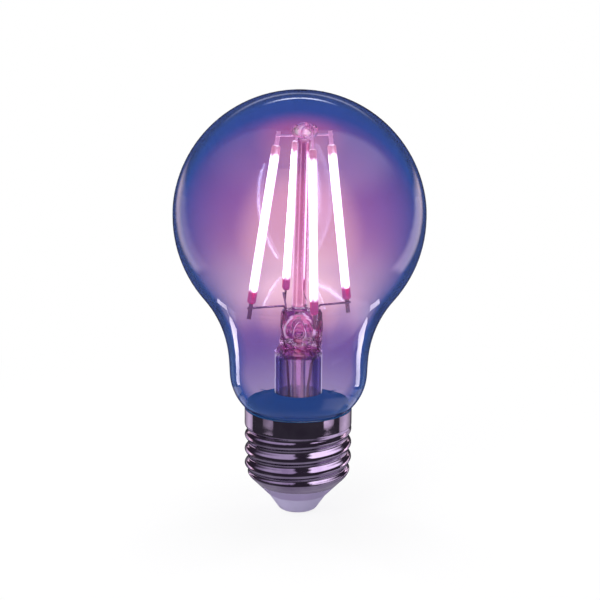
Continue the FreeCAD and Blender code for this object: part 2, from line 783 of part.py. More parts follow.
def make_stem(wires):
    tail = "exhaust_tail flare_rise tube_length"
    drop = shift(0, 0, height(rim + " -exhaust_tail"))
    exhaust = cylinder("exhaust_tube", "exhaust_radius", tail + " dome_height", drop)
    tip = doc.addObject("Part::Sphere", "exhaust_tip")
    tip.setExpression("Radius", "sizes.exhaust_radius")
    tip.Placement = shift(0, 0, height(rim + " -exhaust_tail"))

    post = doc.addObject("Part::Cone", "centre_post")
    post.setExpression("Radius1", "sizes.post_foot_radius")
    post.setExpression("Radius2", "sizes.post_radius")
    post.setExpression("Height", stack("post_root foot_rise cage_rise button_lift")[1])
    post.Placement = lean.multiply(shift(0, 0, height(press_top + " -post_root")))

    button = doc.addObject("Part::Ellipsoid", "crown_button")
    button.setExpression("Radius1", "sizes.button_half")
    button.setExpression("Radius2", "sizes.button_radius")
    button.setExpression("Radius3", "sizes.button_radius")
    button.Placement = lean.multiply(shift(0, 0, button_level))
    lobes = []
    for side in directions:
        lobe = doc.addObject("Part::Sphere", "crown_lobe_" + side)
        lobe.setExpression("Radius", "sizes.lobe_radius")
        turned = turn_about(Vector(0, 0, 1), directions[side] + size("cage_angle"))
        lobe.Placement = lean.multiply(turned).multiply(shift(size("lobe_reach"), 0, button_level))
        lobes.append(lobe)

    # the hollow of the tube domes up into the press
    pinched = doc.addObject("Part::MultiFuse", "pinched_tube")
    pinched.Shapes = [make_tube(), make_press()]
    dome = doc.addObject("Part::Ellipsoid", "tube_dome")
    dome.setExpression("Radius1", "sizes.dome_height")
    dome.setExpression("Radius2", "sizes.tube_radius - sizes.stem_wall")
    dome.setExpression("Radius3", "sizes.tube_radius - sizes.stem_wall")
    dome.Placement = shift(0, 0, height(press + " -roof_height -roof_height"))
    domed = doc.addObject("Part::Cut", "domed_tube")
    domed.Base = pinched
    domed.Tool = dome

    glass = doc.addObject("Part::MultiFuse", "stem_glass")
    glass.Shapes = [domed, exhaust, tip, post, button] + lobes + make_beads()

    bore_foot = height(rim + " -exhaust_tail")
    bore = cylinder("exhaust_bore", "exhaust_bore", tail + " hole_rise", shift(0, 0, bore_foot))
    hole_place = Placement(
        Vector(0, 0, height(press + " hole_rise")),
        Rotation(Vector(1, 0, 0), 90),
    )
    hole = cylinder("exhaust_hole", "exhaust_hole", "press_depth", hole_place)
    cut = glass
    for index, tool in enumerate([bore, hole] + wires):
        step = doc.addObject("Part::Cut", "stem_cut_%d" % index)
        step.Base = cut
        step.Tool = tool
        cut = step
    cut.Label = "glass_stem"
    return cut


def make_board():
    return cylinder("driver_board", "board_radius", "board_thickness", shift(0, 0, height(seat)))


def make_package(label, kind, across, back):
    body = new_body(label, shift(across, back, height(board_top)))
    section = new_sketch(body, label + "_section", "XY_Plane")
    half_length = size(kind + "_length") / 2
    half_width = size(kind + "_width") / 2
    corners = [(-1, -1), (1, -1), (1, 1), (-1, 1)]
    points = [Vector(x * half_length, y * half_width, 0) for x, y in corners]
    for index in range(4):
        section.addGeometry(Part.LineSegment(points[index], points[(index + 1) % 4]))
    for index in range(4):
        section.addConstraint(Sketcher.Constraint("Coincident", index, 2, (index + 1) % 4, 1))
    for index, way in enumerate(["Horizontal", "Vertical", "Horizontal", "Vertical"]):
        section.addConstraint(Sketcher.Constraint(way, index))
    section.addConstraint(Sketcher.Constraint("Symmetric", 0, 1, 1, 2, -1, 1))
    dimension(section, "DistanceX", (0, 1, 0, 2), kind + "_length")
    dimension(section, "DistanceY", (1, 1, 1, 2), kind + "_width")
    pad = body.newObject("PartDesign::Pad", label + "_block")
    pad.Profile = section
    pad.setExpression("Length", "sizes.%s_height" % kind)
    doc.recompute()
    top = size(kind + "_height")
    edges = []
    for index, edge in enumerate(pad.Shape.Edges, start=1):
        if abs(edge.CenterOfMass.z - top) < 1e-4:
            edges.append("Edge%d" % index)
    chamfer = body.newObject("PartDesign::Chamfer", label + "_edge")
    chamfer.Base = (pad, edges)
    chamfer.setExpression("Size", "sizes.package_chamfer")
    doc.recompute()
    return body


def make_capacitor():
    place = shift(-size("capacitor_across"), size("capacitor_back"), height(board_top))
    return cylinder("smoothing_capacitor", "capacitor_radius", "capacitor_height", place)


def make_fuse():
    start = Vector(
        size("fuse_across") - size("fuse_length") / 2,
        size("fuse_back"),
        height(board_top + " fuse_radius"),
    )
    place = Placement(start, Rotation(Vector(0, 1, 0), 90))
    return cylinder("fuse_resistor", "fuse_radius", "fuse_length", place)


def make_shell_lead():
    # from the board's edge up and out to the inner wall of the screw shell
    turn = math.radians(size("shell_lead_angle"))
    wall = height(bore_wall + " -thread_depth -fit_gap")
    end = Vector(wall - size("shell_lead_radius"), size("shell_lead_rise"), 0)
    foot = Vector(math.cos(turn), math.sin(turn), 0) * size("shell_lead_radius")
    foot.z = height(board_top)
    place = Placement(foot, Rotation(Vector(0, 0, 1), size("shell_lead_angle")))
    straight = size("shell_lead_rise") - size("shell_lead_bend")
    return bent_wire("shell_lead", "cap_wire_radius", straight, "shell_lead_bend", end, place)


def make_contact_lead():
    foot = "contact_height shank_length"
    length = "insulator_height shell_wall flange_height -shank_length"
    return cylinder("contact_lead", "cap_wire_radius", length, shift(0, 0, height(foot)))


pieces = [make_envelope(), make_shell(), make_insulator(), make_contact(), make_cement()]
stem_wires = [
    make_bridge("upper_bridge_left_front", "left"),
    make_bridge("upper_bridge_back_right", "right"),
    make_lead_in("left"),
    make_lead_in("right"),
]
for side in directions:
    stem_wires.append(make_inner_lead(side))
    pieces.append(make_filament(side))
    pieces.append(make_tab(side, "upper"))
    pieces.append(make_tab(side, "lower"))
pieces += stem_wires
pieces.append(make_stem(stem_wires))
pieces.append(make_board())
pieces.append(make_package("bridge_rectifier", "rectifier", size("rectifier_across"), -size("rectifier_front")))
pieces.append(make_package("driver_chip", "chip", -size("chip_across"), -size("chip_front")))
pieces += [make_capacitor(), make_fuse(), make_shell_lead(), make_contact_lead()]
doc.recompute()

for item in doc.Objects:
    for word in ("Invalid", "Error"):
        if word in item.State:
            raise RuntimeError("%s failed: %s" % (item.Name, item.State))
for piece in pieces:
    if piece.Shape.isNull() or not piece.Shape.isValid():
        raise RuntimeError("%s has no valid shape" % piece.Label)

os.makedirs("parts", exist_ok=True)
for piece in pieces:
    piece.Shape.exportStep("parts/%s.step" % piece.Label)
    print(piece.Label, round(piece.Shape.Volume, 2), len(piece.Shape.Solids))
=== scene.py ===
import math

import bpy
import numpy as np
from mathutils import Matrix, Vector


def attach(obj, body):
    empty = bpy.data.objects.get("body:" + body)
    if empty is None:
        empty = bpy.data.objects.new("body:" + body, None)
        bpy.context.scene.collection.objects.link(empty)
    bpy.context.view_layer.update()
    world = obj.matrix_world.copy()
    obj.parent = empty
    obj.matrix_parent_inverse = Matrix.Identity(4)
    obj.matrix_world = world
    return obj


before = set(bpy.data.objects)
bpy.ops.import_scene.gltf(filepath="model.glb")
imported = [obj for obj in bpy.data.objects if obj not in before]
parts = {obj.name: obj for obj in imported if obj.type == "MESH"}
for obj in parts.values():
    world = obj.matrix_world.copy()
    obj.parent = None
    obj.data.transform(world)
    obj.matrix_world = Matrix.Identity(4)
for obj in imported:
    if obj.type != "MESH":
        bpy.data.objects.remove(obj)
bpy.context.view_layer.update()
print("frame loaded,", len(parts), "CAD nodes")


# node helpers; lengths are in metres unless a note says mm, and light is linear red, green, blue

black = (0.0, 0.0, 0.0)
white = (1.0, 1.0, 1.0)
noiseSpan = (0.3, 0.7)                # most of a noise lies between these
millimetre = 0.001


def opaque(light):
    # light as a colour socket takes it
    return tuple(light) + (1.0,)


def linear(red, green, blue):
    # screen colour 0..255 to linear light, by the usual 2.4 power curve
    light = []
    for value in (red, green, blue):
        share = value / 255
        light.append(share / 12.92 if share <= 0.04045 else ((share + 0.055) / 1.055) ** 2.4)
    return tuple(light)


def wallTint(red, green, blue):
    # tint of one glass wall, so that white seen through two walls shows the screen colour
    return tuple(math.sqrt(value) for value in linear(red, green, blue))


def addNode(tree, kind, inputs=None, **settings):
    item = tree.nodes.new(kind)
    for key, value in settings.items():
        setattr(item, key, value)
    for key, value in (inputs or {}).items():
        if isinstance(value, bpy.types.NodeSocket):
            tree.links.new(value, item.inputs[key])
        else:
            item.inputs[key].default_value = value
    return item


def calc(tree, operation, first, second=0.5, third=0.5, clamp=False):
    inputs = {0: first, 1: second, 2: third}
    return addNode(tree, "ShaderNodeMath", inputs, operation=operation, use_clamp=clamp).outputs[0]


def vectorCalc(tree, operation, inputs):
    item = addNode(tree, "ShaderNodeVectorMath", inputs, operation=operation)
    return item.outputs["Value" if operation in ("LENGTH", "DOT_PRODUCT") else "Vector"]


def spread(tree, value, low, high, toLow=0.0, toHigh=1.0, smooth=False):
    # a value between low and high, spread over another range and held at its ends
    inputs = {"Value": value, "From Min": low, "From Max": high, "To Min": toLow, "To Max": toHigh}
    curve = "SMOOTHSTEP" if smooth else "LINEAR"
    return addNode(tree, "ShaderNodeMapRange", inputs, interpolation_type=curve).outputs["Result"]


def band(tree, value, low, high, soft):
    # 1 between low and high, falling to 0 over the soft width at both ends
    up = spread(tree, value, low - soft, low + soft, smooth=True)
    down = spread(tree, value, high + soft, high - soft, smooth=True)
    return calc(tree, "MULTIPLY", up, down)


def ramp(tree, value, stops, curve="LINEAR"):
    # stops are pairs of a position and a light
    item = addNode(tree, "ShaderNodeValToRGB", {"Fac": value})
    item.color_ramp.interpolation = curve
    points = item.color_ramp.elements
    while len(points) < len(stops):
        points.new(0.5)
    for point, (position, light) in zip(points, stops):
        point.position = position
        point.color = opaque(light)
    return item.outputs["Color"]


def mixColour(tree, factor, first, second, blend="MIX"):
    # the node's colours go in at sockets 6 and 7 and come out at 2
    inputs = {0: factor}
    for index, colour in ((6, first), (7, second)):
        inputs[index] = opaque(colour) if isinstance(colour, tuple) else colour
    return addNode(tree, "ShaderNodeMix", inputs, data_type="RGBA", blend_type=blend).outputs[2]


def noise(tree, place, scale, detail=3.0):
    inputs = {"Vector": place, "Scale": scale, "Detail": detail}
    return addNode(tree, "ShaderNodeTexNoise", inputs).outputs["Fac"]


def between(tree, cloud, first, second):
    # a colour that drifts from first to second with a noise
    low, high = noiseSpan
    return ramp(tree, cloud, [(low, first), (high, second)])


def slantOf(tree, **normal):
    # 0 where a face is seen square on and 1 on edge: at an even blend, one less the cosine
    return addNode(tree, "ShaderNodeLayerWeight", {"Blend": 0.5, **normal}).outputs["Facing"]


def startMaterial(name, **plain):
    # a Principled material, its plain values set on the shader's own sockets
    material = bpy.data.materials.new(name)
    material.use_nodes = True
    tree = material.node_tree
    shader = tree.nodes["Principled BSDF"]
    for key, value in plain.items():
        shader.inputs[key.replace("_", " ")].default_value = value
    place = addNode(tree, "ShaderNodeTexCoord").outputs["Object"]
    return material, tree, shader, place


def feed(tree, item, **values):
    # values worked out by nodes, linked to the sockets of another node
    for key, value in values.items():
        tree.links.new(value, item.inputs[key.replace("_", " ")])


def addBump(tree, shader, heightValue, strength, distance):
    inputs = {"Height": heightValue, "Strength": strength, "Distance": distance}
    normal = addNode(tree, "ShaderNodeBump", inputs).outputs["Normal"]
    feed(tree, shader, Normal=normal)
    return normal


def dress(name, material):
    piece = parts[name]
    piece.data.materials.clear()
    piece.data.materials.append(material)


# tinted glass of the globe

envelope = {
    "ior": 1.47,
    "bodyTint": (38, 70, 153),        # white seen through both walls
    "melt": (45.0, 2.0),              # scale and detail of the tint's drift
    "meltShare": 0.03,
    "limbTint": (22, 38, 90),         # the body's tint where a wall is seen on edge
    "limb": (0.37, 0.19),             # how square on the wall is where that starts and where it is full
    "outlineTint": (31, 49, 122),     # white seen through the rim of one wall only
    "outline": (0.34, 0.18),
    "centre": (0.0, 0.0, 0.06),
    "span": (25.0, 105.0),            # heights in mm that the lists below lie between
    # painted glow: emission on the glass for the strips' light on the inside of the glass, as it shows
    # through the near wall
    "glow": [(26, (0.32, 0.20, 0.17)), (30, (0.28, 0.16, 0.14)), (36, (0.15, 0.03, 0.03)),
             (42, (0.17, 0.03, 0.04)), (45, (0.30, 0.09, 0.09)), (48, (0.52, 0.25, 0.22)),
             (52, (0.72, 0.39, 0.35)), (56, (0.62, 0.31, 0.28)), (60, (0.46, 0.17, 0.16)),
             (64, (0.35, 0.09, 0.09)), (68, (0.30, 0.07, 0.08)), (74, (0.25, 0.04, 0.05)),
             (80, (0.22, 0.035, 0.035)), (90, (0.20, 0.02, 0.01)), (95, (0.20, 0.01, 0.01)), (99, black)],
    # how square on the wall must be for the glow to start, and to be full
    "glowFrom": [(26, 0.36), (44, 0.36), (50, 0.28), (54, 0.24), (60, 0.24), (74, 0.30), (86, 0.38),
                 (94, 0.48), (99, 0.52)],
    "glowFull": [(26, 0.62), (46, 0.62), (54, 0.87), (99, 0.87)],
    # the warmer painted glow in the middle, and how square on the wall must be for it
    "heart": [(40, black), (45, (0.28, 0.12, 0.06)), (49, (0.36, 0.22, 0.16)), (54, (0.26, 0.16, 0.10)),
              (64, (0.34, 0.20, 0.12)), (72, (0.47, 0.22, 0.14)), (78, (0.54, 0.27, 0.17)),
              (83, (0.54, 0.26, 0.17)), (87, (0.36, 0.12, 0.08)), (91, (0.34, 0.04, 0.02)),
              (94, (0.30, 0.02, 0.01)), (99, black)],
    "heartFrom": [(26, 0.80), (58, 0.78), (66, 0.82), (74, 0.86), (80, 0.86), (84, 0.80), (88, 0.69),
                  (92, 0.59), (99, 0.46)],
    "heartSoft": 0.16,
    "wall": (0.145, 0.26, 0.57),      # what one wall lets through, by whose inverse the glow is raised
    "strength": 2.0,
}


def byHeight(tree, rise, stops):
    # a smooth curve of light, or of one number, through stops at heights in mm
    low, high = envelope["span"]
    pairs = []
    for height, value in stops:
        light = value if isinstance(value, tuple) else (value, value, value)
        pairs.append(((height - low) / (high - low), light))
    return ramp(tree, rise, pairs, "B_SPLINE")


def makeGlass():
    material, tree, shader, place = startMaterial("blue violet glass", Roughness=0.0, IOR=envelope["ior"],
                                                  Transmission_Weight=1.0)
    height = addNode(tree, "ShaderNodeSeparateXYZ", {0: place}).outputs["Z"]
    low, high = envelope["span"]
    rise = spread(tree, height, low * millimetre, high * millimetre)
    square = calc(tree, "SUBTRACT", 1.0, slantOf(tree))
    # the tint deepens where the wall is seen on edge, and drifts a little in the melt
    limb = spread(tree, square, *envelope["limb"], smooth=True)
    deep, pale = [wallTint(*[value * share for value in envelope["bodyTint"]])
                  for share in (1 - envelope["meltShare"], 1 + envelope["meltShare"])]
    melt = between(tree, noise(tree, place, *envelope["melt"]), deep, pale)
    tint = mixColour(tree, limb, melt, wallTint(*envelope["limbTint"]))
    outline = spread(tree, square, *envelope["outline"], smooth=True)
    tint = mixColour(tree, outline, tint, linear(*envelope["outlineTint"]))
    # painted glow: emission for the strips' light on the inner face, seen across the globe on the far wall
    glow = byHeight(tree, rise, envelope["glow"])
    glowStart = byHeight(tree, rise, envelope["glowFrom"])
    glowFull = byHeight(tree, rise, envelope["glowFull"])
    glow = mixColour(tree, 1.0, glow, spread(tree, square, glowStart, glowFull), "MULTIPLY")
    heart = byHeight(tree, rise, envelope["heart"])
    heartStart = byHeight(tree, rise, envelope["heartFrom"])
    heartFull = calc(tree, "ADD", heartStart, envelope["heartSoft"])
    heartShare = spread(tree, square, heartStart, heartFull, smooth=True)
    heart = mixColour(tree, 1.0, heart, heartShare, "MULTIPLY")
    light = mixColour(tree, 1.0, glow, heart, "ADD")
    geometry = addNode(tree, "ShaderNodeNewGeometry")
    outward = vectorCalc(tree, "SUBTRACT", {0: place, 1: envelope["centre"]})
    lean = vectorCalc(tree, "DOT_PRODUCT", {0: geometry.outputs["Normal"], 1: outward})
    inner = calc(tree, "LESS_THAN", lean, 0.0)
    facing = calc(tree, "SUBTRACT", inner, geometry.outputs["Backfacing"], clamp=True)
    clear = calc(tree, "MULTIPLY", facing, calc(tree, "SUBTRACT", 1.0, limb))
    light = mixColour(tree, 1.0, light, clear, "MULTIPLY")
    raised = tuple(1 / (envelope["strength"] * share) for share in envelope["wall"])
    light = mixColour(tree, 1.0, light, raised, "MULTIPLY")
    feed(tree, shader, Base_Color=tint, Emission_Color=light)
    shader.inputs["Emission Strength"].default_value = envelope["strength"]
    return material


dress("glass_envelope", makeGlass())
print("globe glass done")


# clear stem glass

stem = {
    "ior": 1.5,
    # heights of each stretch's foot and head, and the softness of both
    "tube": (0.0276, 0.0408, 0.0008),
    "press": (0.0405, 0.0515, 0.0008),
    "post": (0.0520, 0.0915, 0.0006),
    "button": (0.0915, 0.0935),       # heights between which the post turns into the button
    "clear": (250, 238, 250),
    "clearDrift": 8,
    "cloud": 180.0,
    # painted shade: darker tints of a wall seen on edge, and the heights between which each takes over
    "edge": (84, 80, 160),
    "pressEdge": (172, 84, 146),
    "pressEdgeFrom": (0.0395, 0.0425),
    "pinkEdge": (214, 140, 188),
    "pinkEdgeFrom": (0.050, 0.052),
    "edgeShadeShare": [(0.06, black), (0.30, white), (0.70, white), (0.86, black)],
    "exhaust": 0.0030,                # the exhaust tube lies within this radius
    "exhaustShade": (52, 34, 104),
    # painted shade: the press's body, tinted a darker pink than the clear glass
    "pressBodyShade": (206, 136, 194),
    # painted shade: darker upright lines in the post: slant, then screen colour
    "postShadeLines": [(0.00, (214, 152, 190)), (0.05, (230, 184, 212)), (0.10, (248, 222, 238)),
                 (0.22, (206, 146, 184)), (0.34, (206, 146, 184)), (0.52, (246, 222, 238)),
                 (0.90, (250, 232, 244))],
    # lumps of the hot-worked glass: scale and detail, depth, and the button's share of them
    "lump": (420.0, 1.5),
    "lumpDepth": 0.0010,
    "buttonLump": 0.7,
    # rounds blown and pinched in the press: middle in x and z, half width, half height, how much they
    # narrow upwards, and how high they stand
    "rounds": [(0.0002, 0.0469, 0.0036, 0.0036, 0.10, 0.22), (0.0002, 0.0468, 0.0014, 0.0022, 0.40, 0.22)],
    "ridge": (0.93, 1.07, 0.18),      # where a ridge stands, in half widths from its middle, and its softness
    # the rounds' painted glints: how far up a ridge, their growth with height, and the noise that breaks them
    # up
    "crest": (0.40, 0.58),
    "crestGrowth": (0.0438, 0.0470, 0.12, 1.0),
    "breaks": (330.0, 1.0),
    "breakSpan": (0.46, 0.60),
    "roundGlint": (3.3, 1.4, 0.9),
    # painted glow of the strips in the tube: streaks, drawn out upwards, that gain from left to right, and
    # its painted edge highlight
    "tubeLight": (0.58, 0.18, 0.12),
    "tubeFront": (0.34, 0.16),        # slants at which the streaks start and are full
    "tubeGain": (-0.004, 0.004, 0.7, 1.5),
    "streakShape": (1.0, 1.0, 0.06),
    "streaks": (700.0, 1.0),
    "streakSpan": (0.44, 0.56, 0.1, 1.0),
    "tubeHighlight": (2.4, 1.3, 0.7),
    "tubeHighlightFrom": (0.70, 0.78),
    # painted glow and glints of the strips in the other stretches: slant, then light
    "pressLight": [(0.02, (1.35, 0.30, 0.18)), (0.07, (0.20, 0.0, 0.01)), (0.16, (0.20, 0.0, 0.01)),
                   (0.32, black)],
    "buttonLight": [(0.03, (3.2, 1.4, 0.7)), (0.10, (1.5, 0.45, 0.28)), (0.45, black)],
    "postLight": [(0.055, black), (0.095, (2.3, 0.62, 0.42)), (0.14, black), (0.34, black),
                  (0.56, (2.0, 0.95, 0.55)), (0.90, (2.0, 0.95, 0.55))],
}


def ovalRidge(tree, sideways, height, middleX, middleZ, halfWide, halfTall, narrow):
    # a ridge stands where the distance from its middle, in its own half widths, is near one
    overZ = calc(tree, "DIVIDE", calc(tree, "SUBTRACT", height, middleZ), halfTall)
    overX = calc(tree, "DIVIDE", calc(tree, "SUBTRACT", sideways, middleX), halfWide)
    overX = calc(tree, "MULTIPLY", overX, calc(tree, "MULTIPLY_ADD", overZ, narrow, 1.0))
    squares = calc(tree, "ADD", calc(tree, "POWER", overX, 2.0), calc(tree, "POWER", overZ, 2.0))
    return band(tree, calc(tree, "SQRT", squares), *stem["ridge"])


def makeStemGlass():
    material, tree, shader, place = startMaterial("clear stem glass", Roughness=0.0, IOR=stem["ior"],
                                                  Transmission_Weight=1.0, Emission_Strength=1.0)
    split = addNode(tree, "ShaderNodeSeparateXYZ", {0: place})
    sideways = split.outputs["X"]
    height = split.outputs["Z"]
    inTube, pressed, post = [band(tree, height, *stem[stretch]) for stretch in ("tube", "press", "post")]
    button = spread(tree, height, *stem["button"], smooth=True)
    # the press and the button were worked hot, so their faces ripple
    worked = calc(tree, "MULTIPLY_ADD", button, stem["buttonLump"], pressed)
    ripple = calc(tree, "MULTIPLY", noise(tree, place, *stem["lump"]), worked)
    ridges = 0.0
    for *shape, stand in stem["rounds"]:
        ridge = calc(tree, "MULTIPLY", ovalRidge(tree, sideways, height, *shape), pressed)
        ripple = calc(tree, "MULTIPLY_ADD", ridge, stand, ripple)
        ridges = calc(tree, "MAXIMUM", ridge, ridges)
    slant = slantOf(tree, Normal=addBump(tree, shader, ripple, 1.0, stem["lumpDepth"]))
    # painted shade: dark bands stand a little way in from each edge of the tube, and the edge itself stays
    # light
    cloudy = linear(*[value - stem["clearDrift"] for value in stem["clear"]])
    body = between(tree, noise(tree, place, stem["cloud"]), cloudy, linear(*stem["clear"]))
    # painted shade: the press's body is tinted a darker pink
    body = mixColour(tree, pressed, body, linear(*stem["pressBodyShade"]))
    onPress = spread(tree, height, *stem["pressEdgeFrom"])
    shade = mixColour(tree, onPress, linear(*stem["edge"]), linear(*stem["pressEdge"]))
    shade = mixColour(tree, spread(tree, height, *stem["pinkEdgeFrom"]), shade, linear(*stem["pinkEdge"]))
    # painted shade: the exhaust tube's own walls, inside the wide tube, are tinted darker
    across = addNode(tree, "ShaderNodeCombineXYZ", {"X": sideways, "Y": split.outputs["Y"]}).outputs[0]
    within = calc(tree, "LESS_THAN", vectorCalc(tree, "LENGTH", {0: across}), stem["exhaust"])
    within = calc(tree, "MULTIPLY", within, calc(tree, "LESS_THAN", height, stem["press"][0]))
    shade = mixColour(tree, within, shade, linear(*stem["exhaustShade"]))
    tint = mixColour(tree, ramp(tree, slant, stem["edgeShadeShare"]), body, shade)
    # painted shade: darker upright lines down the post
    lines = ramp(tree, slant, [(position, linear(*colour)) for position, colour in stem["postShadeLines"]])
    tint = mixColour(tree, post, tint, lines)
    # painted glow: emission for the strips' light in the glass, in upright streaks in the tube, in patches in
    # the press and button
    drawn = vectorCalc(tree, "MULTIPLY", {0: place, 1: stem["streakShape"]})
    streak = spread(tree, noise(tree, drawn, *stem["streaks"]), *stem["streakSpan"])
    streak = calc(tree, "MULTIPLY", streak, spread(tree, sideways, *stem["tubeGain"]))
    front = calc(tree, "MULTIPLY", inTube, spread(tree, slant, *stem["tubeFront"], smooth=True))
    light = mixColour(tree, calc(tree, "MULTIPLY", front, streak), black, stem["tubeLight"])
    # painted highlight along the tube's edges
    outline = calc(tree, "MULTIPLY", inTube, spread(tree, slant, *stem["tubeHighlightFrom"], smooth=True))
    light = mixColour(tree, outline, light, stem["tubeHighlight"])
    light = mixColour(tree, pressed, light, ramp(tree, slant, stem["pressLight"]))
    # painted glints on the rounds' ridges
    crests = spread(tree, ridges, *stem["crest"], smooth=True)
    crests = calc(tree, "MULTIPLY", crests, spread(tree, height, *stem["crestGrowth"]))
    broken = spread(tree, noise(tree, place, *stem["breaks"]), *stem["breakSpan"], smooth=True)
    light = mixColour(tree, calc(tree, "MULTIPLY", crests, broken), light, stem["roundGlint"])
    light = mixColour(tree, button, light, ramp(tree, slant, stem["buttonLight"]))
    # painted highlights: bright lines down the post, off its near face
    backFace = addNode(tree, "ShaderNodeNewGeometry").outputs["Backfacing"]
    nearPost = calc(tree, "MULTIPLY", post, calc(tree, "SUBTRACT", 1.0, backFace))
    light = mixColour(tree, nearPost, light, ramp(tree, slant, stem["postLight"]))
    feed(tree, shader, Base_Color=tint, Emission_Color=light)
    return material


dress("glass_stem", makeStemGlass())
print("stem glass done")


# lit filaments

filament = {
    "sides": ("right", "back", "left", "front"),
    "roughness": 0.6,
    # along the strip, in mm from its foot
    "length": 38.4,
    "lit": (3.4, 35.9, 0.7),          # from, to and softness
    "upperHalf": (15.0, 23.0),
    "skin": [(0.0, (190, 30, 110)), (0.5, (240, 190, 220)), (1.0, (190, 130, 150))],
    # off its middle line
    "rimFrom": (0.0007, 0.0011),
    "heart": (100.0, 50.0, 30.0),
    "rim": (9.0, 4.0, 3.0),
    # light that the unlit ends take from the lit part: a wick that widens with mm from the tip, and the skin
    "wick": (0.0, 3.4, 0.00085, 0.0012),
    "wickFull": 0.72,
    "lowEnd": (3.6, 0.03, 0.26),
    "lowSkin": (1.3, 0.22, 0.36),
    "highEnd": (8.0, 3.4, 2.1),
    "highSkin": (3.8, 0.9, 0.7),
    "grain": 1800.0,
    "grainDepth": (0.75, 1.0),
}


def axisOf(piece):
    # the middle line of a straight strip, from the strip's own points: its lower end and its direction
    points = np.empty(len(piece.data.vertices) * 3, np.float32)
    piece.data.vertices.foreach_get("co", points)
    points = points.reshape(-1, 3).astype(float)
    middle = points.mean(0)
    direction = np.linalg.svd(points - middle, full_matrices=False)[2][0]
    direction = direction * np.sign(direction[2])
    along = (points - middle) @ direction
    return tuple(middle + direction * along.min()), tuple(direction)


def makeFilament(side):
    foot, direction = axisOf(parts["filament_" + side])
    material, tree, shader, place = startMaterial("lit coat " + side, Roughness=filament["roughness"],
                                                  Emission_Strength=1.0)
    apart = vectorCalc(tree, "SUBTRACT", {0: place, 1: foot})
    along = vectorCalc(tree, "DOT_PRODUCT", {0: apart, 1: direction})
    run = calc(tree, "MULTIPLY", along, 1 / millimetre)
    lit = band(tree, run, *filament["lit"])
    # bright in the middle, and dimmer towards the long corners
    back = vectorCalc(tree, "SCALE", {0: direction, "Scale": along})
    width = vectorCalc(tree, "LENGTH", {0: vectorCalc(tree, "SUBTRACT", {0: apart, 1: back})})
    rim = spread(tree, width, *filament["rimFrom"], smooth=True)
    bright = mixColour(tree, rim, filament["heart"], filament["rim"])
    # the unlit ends narrow to a wick of light inside the coat
    upper = spread(tree, run, *filament["upperHalf"])
    wick = mixColour(tree, upper, filament["lowEnd"], filament["highEnd"])
    skinLight = mixColour(tree, upper, filament["lowSkin"], filament["highSkin"])
    tip = calc(tree, "MINIMUM", run, calc(tree, "SUBTRACT", filament["length"], run))
    reach = spread(tree, tip, *filament["wick"])
    coat = spread(tree, width, calc(tree, "MULTIPLY", reach, filament["wickFull"]), reach, smooth=True)
    dull = mixColour(tree, coat, wick, skinLight)
    grain = spread(tree, noise(tree, place, filament["grain"]), *noiseSpan, *filament["grainDepth"])
    dull = mixColour(tree, 1.0, dull, grain, "MULTIPLY")
    skinStops = [(position, linear(*colour)) for position, colour in filament["skin"]]
    skin = ramp(tree, spread(tree, run, 0.0, filament["length"]), skinStops)
    feed(tree, shader, Base_Color=skin, Emission_Color=mixColour(tree, lit, dull, bright))
    return material


for side in filament["sides"]:
    dress("filament_" + side, makeFilament(side))
print("filaments done")


# insulator

insulator = {
    "upper": (168, 152, 194),
    "lower": (198, 188, 222),
    "step": 0.0048,
    "stepSoft": 0.0004,
    "stepWaver": 0.0004,
    "cloud": (260.0, 4.0),            # scale and detail of the drift
    "grain": (0.92, 0.92, 0.92),
    "gloss": (0.38, 0.52),
    "bump": (1500.0, 0.05, 0.0001),   # scale, strength and depth
}


def makeInsulator():
    # moulded plastic, greyer above the step than below it
    material, tree, shader, place = startMaterial("insulator")
    height = addNode(tree, "ShaderNodeSeparateXYZ", {0: place}).outputs["Z"]
    cloud = noise(tree, place, *insulator["cloud"])
    waver = calc(tree, "SUBTRACT", cloud, 0.5)
    level = calc(tree, "MULTIPLY_ADD", waver, insulator["stepWaver"], height)
    soft = insulator["stepSoft"]
    share = spread(tree, level, insulator["step"] - soft, insulator["step"] + soft, smooth=True)
    tint = mixColour(tree, share, linear(*insulator["lower"]), linear(*insulator["upper"]))
    tint = mixColour(tree, 1.0, tint, between(tree, cloud, insulator["grain"], white), "MULTIPLY")
    gloss = spread(tree, cloud, *noiseSpan, *insulator["gloss"])
    feed(tree, shader, Base_Color=tint, Roughness=gloss)
    scale, strength, depth = insulator["bump"]
    addBump(tree, shader, noise(tree, place, scale), strength, depth)
    return material


dress("base_insulator", makeInsulator())


# screw shell

shell = {
    "dull": (182, 164, 196),
    "bright": (212, 198, 224),
    "cloud": 220.0,
    "glossCloud": 660.0,
    "gloss": (0.05, 0.11),
    "pitch": 0.003629,
    "threads": (0.0085, 0.0215, 0.0008),   # heights of the thread's ends, and their softness
    "lines": (5, 2),                  # roller lines to a turn, fine and coarse
    "waver": (60.0, 0.0002),          # scale and depth of the fine lines' waver
    "lineStrength": 0.6,
    "lineDepth": 0.000030,
}


